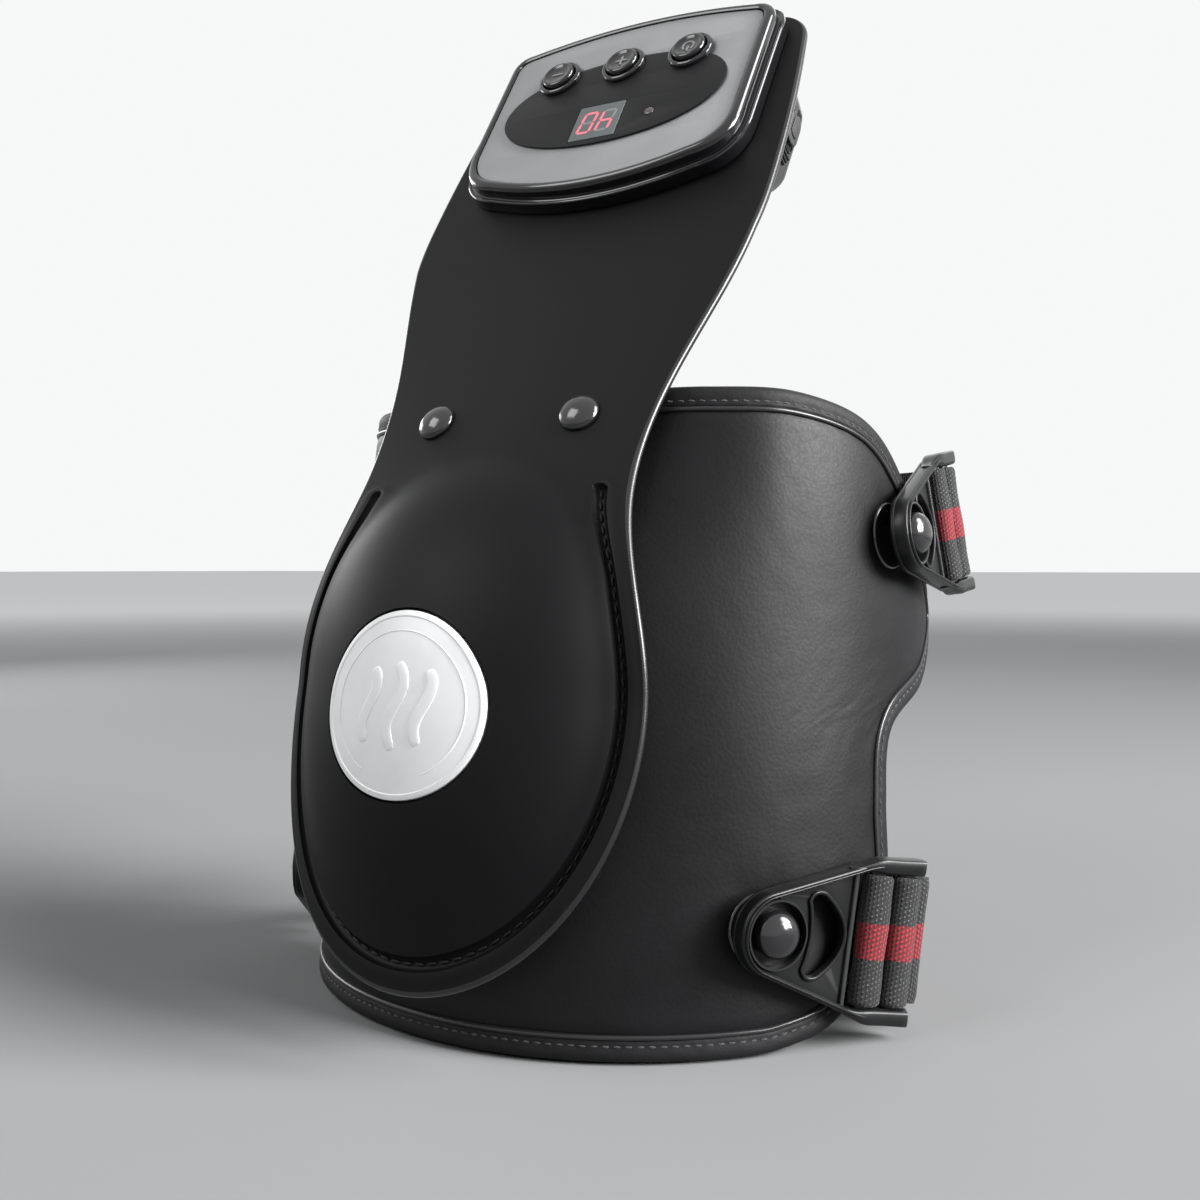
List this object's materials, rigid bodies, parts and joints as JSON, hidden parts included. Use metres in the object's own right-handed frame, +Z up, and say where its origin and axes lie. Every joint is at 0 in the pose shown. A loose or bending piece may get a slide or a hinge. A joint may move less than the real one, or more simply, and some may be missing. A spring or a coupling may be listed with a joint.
{
  "type": "heated leg massager",
  "caption": "Black padded wrap for the knee with a domed massage module in front, a flexible flap holding buttons and a display, and elastic straps held by buckles on studs.",
  "frame": {"origin": "middle of the outline's box at the level of the wrap's hem", "axes": "+Z up along the leg, -Y towards the massage dome, +X towards the right of someone facing the dome"},
  "size_m": [0.238, 0.2202, 0.3432],
  "materials": {
    "leather": "black grained leather with a soft sheen",
    "lining": "brushed knit lining",
    "binding": "folded edge tape with a raised piping",
    "moulding": "matte soft-touch moulding",
    "gloss_black": "glossy moulding",
    "satin_black": "satin moulding",
    "buckle_black": "satin nylon moulding",
    "silver": "satin pale grey paint",
    "badge": "satin with a bright chamfer",
    "overlay": "glossy label film",
    "webbing": "ribbed elastic webbing with a red stripe",
    "steel": "plain steel",
    "board": "circuit board",
    "film": "heating film",
    "display": "smoked window over a two-digit display",
    "led": "small dim indicator",
    "cells": "shrink sleeve",
    "port_rubber": "moulded rubber"
  },
  "bodies": {
    "base": {"wrap_leather": "leather", "wrap_lining": "lining", "wrap_binding": "binding", "heating_film_right": "film", "heating_film_left": "film", "dome_shell": "moulding", "badge_disc": "badge", "tongue_flex": "moulding", "waist_rivet_right": "satin_black", "waist_rivet_left": "satin_black", "rivet_washer_right": "steel", "rivet_washer_left": "steel", "module_tray": "satin_black", "vibration_motor_upper": "steel", "vibration_motor_lower": "steel", "motor_carrier": "satin_black", "stud_right_lower": "satin_black", "stud_right_upper": "satin_black", "stud_left_lower": "satin_black", "stud_left_upper": "satin_black", "strap_right_lower": "webbing", "strap_right_upper": "webbing", "strap_left_lower": "webbing", "strap_left_upper": "webbing", "strap_rear_right_lower": "webbing", "strap_rear_left_lower": "webbing"},
    "flap": {"flap_panel": "moulding", "control_housing": "gloss_black", "face_plate": "silver", "panel_overlay": "overlay", "circuit_board": "board", "display_window": "display", "indicator_led": "led", "key_switch_minus": "steel", "key_switch_plus": "steel", "key_switch_power": "steel", "battery_housing": "satin_black", "battery_pack": "cells", "charge_socket": "steel", "housing_screw_1": "steel", "housing_screw_2": "steel", "housing_screw_3": "steel", "housing_screw_4": "steel"},
    "button_minus": {"button_minus": "gloss_black"},
    "button_plus": {"button_plus": "gloss_black"},
    "button_power": {"button_power": "gloss_black"},
    "port_cover": {"port_cover": "port_rubber"},
    "rotor_upper": {"eccentric_weight_upper": "steel"},
    "rotor_lower": {"eccentric_weight_lower": "steel"},
    "buckle_right_lower": {"buckle_right_lower": "buckle_black", "winding_right_lower": "webbing"},
    "buckle_right_upper": {"buckle_right_upper": "buckle_black", "winding_right_upper": "webbing"},
    "buckle_left_lower": {"buckle_left_lower": "buckle_black", "winding_left_lower": "webbing"},
    "buckle_left_upper": {"buckle_left_upper": "buckle_black", "winding_left_upper": "webbing"}
  },
  "joints": [
    {"name": "flap_flex", "type": "hinge", "parent": "base", "child": "flap", "pos_m": [0, -0.02283, 0.22678], "axis": [1, 0, 0], "range_deg": [-12, 18], "stiffness_Nm_per_rad": 10, "deforming": ["tongue_flex"]},
    {"name": "button_minus_press", "type": "slide", "parent": "flap", "child": "button_minus", "axis": [0, 0.8358, -0.549], "range_m": [0, 0.001], "stiffness_N_per_m": 400},
    {"name": "button_plus_press", "type": "slide", "parent": "flap", "child": "button_plus", "axis": [0, 0.8358, -0.549], "range_m": [0, 0.001], "stiffness_N_per_m": 400},
    {"name": "button_power_press", "type": "slide", "parent": "flap", "child": "button_power", "axis": [0, 0.8358, -0.549], "range_m": [0, 0.001], "stiffness_N_per_m": 400},
    {"name": "port_cover_swing", "type": "hinge", "parent": "flap", "child": "port_cover", "pos_m": [0.0622, 0.02803, 0.2849], "axis": [0, 0.8358, -0.549], "range_deg": [0, 95]},
    {"name": "buckle_right_lower_swivel", "type": "hinge", "parent": "base", "child": "buckle_right_lower", "pos_m": [0.08178, -0.03948, 0.03532], "axis": [0.7624, -0.6383, 0.1063], "range_deg": [-2, 16], "deforming": ["strap_right_lower"]},
    {"name": "buckle_right_upper_swivel", "type": "hinge", "parent": "base", "child": "buckle_right_upper", "pos_m": [0.09905, 0.0219, 0.15032], "axis": [0.9841, -0.1641, 0.0676], "range_deg": [-12, 12], "deforming": ["strap_right_upper"]},
    {"name": "buckle_left_lower_swivel", "type": "hinge", "parent": "base", "child": "buckle_left_lower", "pos_m": [-0.08178, -0.03948, 0.03532], "axis": [0.7624, 0.6383, -0.1063], "range_deg": [-2, 16], "deforming": ["strap_left_lower"]},
    {"name": "buckle_left_upper_swivel", "type": "hinge", "parent": "base", "child": "buckle_left_upper", "pos_m": [-0.09905, 0.0219, 0.15032], "axis": [0.9841, 0.1641, -0.0676], "range_deg": [-12, 12], "deforming": ["strap_left_upper"]},
    {"name": "rotor_upper_spin", "type": "hinge", "parent": "base", "child": "rotor_upper", "pos_m": [0, -0.06989, 0.12294], "axis": [0, -0.9829, 0.184], "continuous": true},
    {"name": "rotor_lower_spin", "type": "hinge", "parent": "base", "child": "rotor_lower", "pos_m": [0, -0.07835, 0.07773], "axis": [0, -0.9829, 0.184], "continuous": true}
  ]
}
